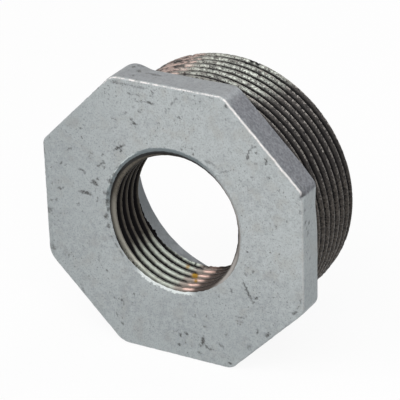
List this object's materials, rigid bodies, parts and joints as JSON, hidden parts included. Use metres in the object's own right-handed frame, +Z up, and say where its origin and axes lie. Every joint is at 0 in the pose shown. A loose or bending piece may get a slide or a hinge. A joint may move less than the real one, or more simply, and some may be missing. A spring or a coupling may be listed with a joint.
{
  "type": "octagonal reducing bushing",
  "caption": "Galvanised iron reducing bushing: octagonal head, outside pipe thread, smaller tapped bore and a cored hollow behind it.",
  "frame": {"origin": "on the thread axis, in the plane of the head's front face", "axes": "+Y along the thread axis from the head to the threaded end, +Z up, square to the head's lowest flat, +X to the right seen from the front"},
  "size_m": [0.064, 0.029, 0.0639],
  "materials": {
    "galvanised_iron": "matt hot-dip galvanised, darker in the threads"
  },
  "bodies": {
    "root": {"bushing": "galvanised_iron"}
  },
  "joints": []
}
